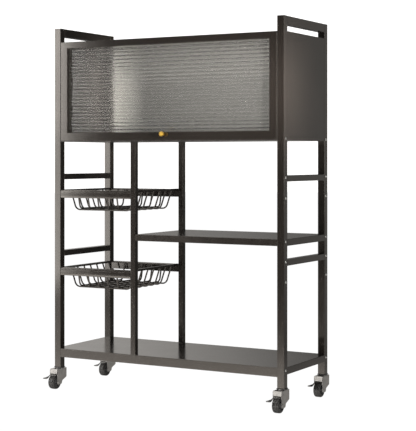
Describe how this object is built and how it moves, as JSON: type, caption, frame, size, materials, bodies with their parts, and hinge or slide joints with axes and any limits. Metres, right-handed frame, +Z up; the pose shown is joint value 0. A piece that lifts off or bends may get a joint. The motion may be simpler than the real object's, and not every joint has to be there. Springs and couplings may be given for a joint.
{
  "type": "kitchen storage stand",
  "caption": "Tall rolling steel kitchen stand with a flip-up reeded glass door, microwave shelf, pull-out wire baskets and braked swivel casters.",
  "frame": {"origin": "middle of the bounding box, on the floor", "axes": "+Z up, +X to the right seen from the front, the door and the baskets open towards -Y"},
  "size_m": [0.921, 0.396, 1.269],
  "materials": {
    "black_paint": "semi-gloss",
    "bright_steel": "zinc plated",
    "reeded_glass": "reeded",
    "brass": "polished",
    "seal": "matte",
    "black_plastic": "matte",
    "zinc": "zinc plated",
    "tread": "matte",
    "pedal_metal": "zinc plated"
  },
  "bodies": {
    "frame": {"post_front_left": "black_paint", "post_front_right": "black_paint", "post_rear_left": "black_paint", "post_rear_right": "black_paint", "top_rail_left": "black_paint", "top_rail_right": "black_paint", "side_rail_upper_left": "black_paint", "side_rail_upper_right": "black_paint", "side_rail_lower_left": "black_paint", "side_rail_lower_right": "black_paint", "mid_post_front": "black_paint", "mid_post_rear": "black_paint", "bottom_shelf": "black_paint", "middle_shelf": "black_paint", "cabinet_top": "black_paint", "cabinet_floor": "black_paint", "cabinet_floor_lips": "black_paint", "cabinet_side_left": "black_paint", "cabinet_side_right": "black_paint", "cabinet_back": "black_paint", "basket_lower_runners": "black_paint", "basket_upper_runners": "black_paint", "basket_back_rails": "black_paint", "through_bolts": "bright_steel", "short_bolts": "bright_steel", "mid_post_screws": "bright_steel", "post_caps": "black_plastic", "caster_plugs": "black_plastic", "caster_stems": "bright_steel", "door_pivot_pins": "bright_steel"},
    "door": {"door_frame": "black_paint", "door_seal": "seal", "door_panel": "reeded_glass", "door_knob": "brass", "knob_screw": "bright_steel", "door_pivot_bushes": "black_plastic"},
    "basket_upper": {"basket_upper": "black_paint", "basket_upper_front": "black_paint"},
    "basket_lower": {"basket_lower": "black_paint", "basket_lower_front": "black_paint"},
    "fork_front_left": {"caster_fork_front_left": "zinc", "caster_axle_front_left": "zinc"},
    "wheel_front_left": {"caster_wheel_front_left": "black_plastic", "caster_tyre_front_left": "tread"},
    "pedal_front_left": {"caster_pedal_front_left": "pedal_metal"},
    "fork_front_right": {"caster_fork_front_right": "zinc", "caster_axle_front_right": "zinc"},
    "wheel_front_right": {"caster_wheel_front_right": "black_plastic", "caster_tyre_front_right": "tread"},
    "pedal_front_right": {"caster_pedal_front_right": "pedal_metal"},
    "fork_rear_left": {"caster_fork_rear_left": "zinc", "caster_axle_rear_left": "zinc"},
    "wheel_rear_left": {"caster_wheel_rear_left": "black_plastic", "caster_tyre_rear_left": "tread"},
    "pedal_rear_left": {"caster_pedal_rear_left": "pedal_metal"},
    "fork_rear_right": {"caster_fork_rear_right": "zinc", "caster_axle_rear_right": "zinc"},
    "wheel_rear_right": {"caster_wheel_rear_right": "black_plastic", "caster_tyre_rear_right": "tread"},
    "pedal_rear_right": {"caster_pedal_rear_right": "pedal_metal"}
  },
  "joints": [
    {"name": "door_flip", "type": "hinge", "parent": "frame", "child": "door", "pos_m": [0.006, -0.141, 1.2116], "axis": [-1, 0, 0], "range_deg": [0, 90]},
    {"name": "basket_upper_slide", "type": "slide", "parent": "frame", "child": "basket_upper", "axis": [0, -1, 0], "range_m": [0, 0.24]},
    {"name": "basket_lower_slide", "type": "slide", "parent": "frame", "child": "basket_lower", "axis": [0, -1, 0], "range_m": [0, 0.24]},
    {"name": "swivel_front_left", "type": "hinge", "parent": "frame", "child": "fork_front_left", "pos_m": [-0.4315, -0.136, 0.07], "axis": [0, 0, 1], "continuous": true},
    {"name": "roll_front_left", "type": "hinge", "parent": "fork_front_left", "child": "wheel_front_left", "pos_m": [-0.4315, -0.166, 0.025], "axis": [1, 0, 0], "continuous": true},
    {"name": "brake_front_left", "type": "hinge", "parent": "fork_front_left", "child": "pedal_front_left", "pos_m": [-0.4315, -0.162, 0.0585], "axis": [-1, 0, 0], "range_deg": [0, 8]},
    {"name": "swivel_front_right", "type": "hinge", "parent": "frame", "child": "fork_front_right", "pos_m": [0.4435, -0.136, 0.07], "axis": [0, 0, 1], "continuous": true},
    {"name": "roll_front_right", "type": "hinge", "parent": "fork_front_right", "child": "wheel_front_right", "pos_m": [0.4435, -0.166, 0.025], "axis": [1, 0, 0], "continuous": true},
    {"name": "brake_front_right", "type": "hinge", "parent": "fork_front_right", "child": "pedal_front_right", "pos_m": [0.4435, -0.162, 0.0585], "axis": [-1, 0, 0], "range_deg": [0, 8]},
    {"name": "swivel_rear_left", "type": "hinge", "parent": "frame", "child": "fork_rear_left", "pos_m": [-0.4315, 0.179, 0.07], "axis": [0, 0, 1], "continuous": true},
    {"name": "roll_rear_left", "type": "hinge", "parent": "fork_rear_left", "child": "wheel_rear_left", "pos_m": [-0.4315, 0.149, 0.025], "axis": [1, 0, 0], "continuous": true},
    {"name": "brake_rear_left", "type": "hinge", "parent": "fork_rear_left", "child": "pedal_rear_left", "pos_m": [-0.4315, 0.153, 0.0585], "axis": [-1, 0, 0], "range_deg": [0, 8]},
    {"name": "swivel_rear_right", "type": "hinge", "parent": "frame", "child": "fork_rear_right", "pos_m": [0.4435, 0.179, 0.07], "axis": [0, 0, 1], "continuous": true},
    {"name": "roll_rear_right", "type": "hinge", "parent": "fork_rear_right", "child": "wheel_rear_right", "pos_m": [0.4435, 0.149, 0.025], "axis": [1, 0, 0], "continuous": true},
    {"name": "brake_rear_right", "type": "hinge", "parent": "fork_rear_right", "child": "pedal_rear_right", "pos_m": [0.4435, 0.153, 0.0585], "axis": [-1, 0, 0], "range_deg": [0, 8]}
  ]
}
